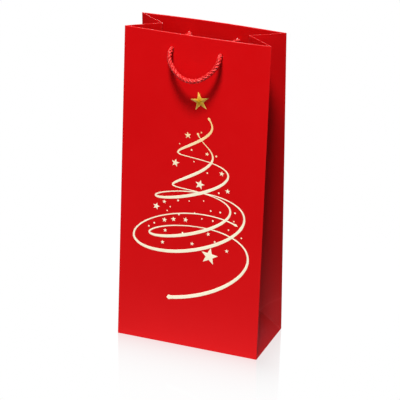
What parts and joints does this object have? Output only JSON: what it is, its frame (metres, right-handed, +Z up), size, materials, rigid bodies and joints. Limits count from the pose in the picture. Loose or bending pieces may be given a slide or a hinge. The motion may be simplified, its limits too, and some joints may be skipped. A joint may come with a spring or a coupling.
{
  "type": "wine gift bag",
  "caption": "Tall red paper gift bag for two wine bottles, with folded side gussets, block bottom and knotted cord handles.",
  "frame": {"origin": "centre of the base, on the ground", "axes": "+Z up, -Y out of the front panel, +X to the right seen from the front"},
  "size_m": [0.18, 0.1012, 0.39],
  "materials": {
    "red_laminated_paper": "satin film laminated over red print, white paper on the unprinted side",
    "reinforcing_card": "uncoated grey-white card",
    "base_board": "uncoated grey-white board",
    "red_cord": "twisted satin polypropylene cord"
  },
  "bodies": {
    "bag": {"front_panel": "red_laminated_paper", "back_panel": "red_laminated_paper", "front_card": "reinforcing_card", "back_card": "reinforcing_card", "front_hem": "red_laminated_paper", "back_hem": "red_laminated_paper", "front_bottom_flap": "red_laminated_paper", "back_bottom_flap": "red_laminated_paper", "right_gusset_front": "red_laminated_paper", "right_gusset_back": "red_laminated_paper", "right_gusset_foot": "red_laminated_paper", "right_gusset_front_hem": "red_laminated_paper", "right_gusset_back_hem": "red_laminated_paper", "left_gusset_front": "red_laminated_paper", "left_gusset_back": "red_laminated_paper", "left_gusset_foot": "red_laminated_paper", "left_gusset_front_hem": "red_laminated_paper", "left_gusset_back_hem": "red_laminated_paper", "right_end_flap": "red_laminated_paper", "left_end_flap": "red_laminated_paper", "base_board": "base_board", "side_seam_flap": "red_laminated_paper", "front_cord_ends": "red_cord", "back_cord_ends": "red_cord", "front_right_knot": "red_cord", "front_left_knot": "red_cord", "back_right_knot": "red_cord", "back_left_knot": "red_cord"},
    "front_handle": {"front_handle_cord": "red_cord"},
    "back_handle": {"back_handle_cord": "red_cord"}
  },
  "joints": [
    {"name": "front_handle_swing", "type": "hinge", "parent": "bag", "child": "front_handle", "pos_m": [0, -0.03293, 0.3678], "axis": [-1, 0, 0], "range_deg": [-30, 145], "deforming": ["front_cord_ends"]},
    {"name": "back_handle_swing", "type": "hinge", "parent": "bag", "child": "back_handle", "pos_m": [0, 0.03293, 0.3678], "axis": [1, 0, 0], "range_deg": [-30, 145], "deforming": ["back_cord_ends"]}
  ]
}
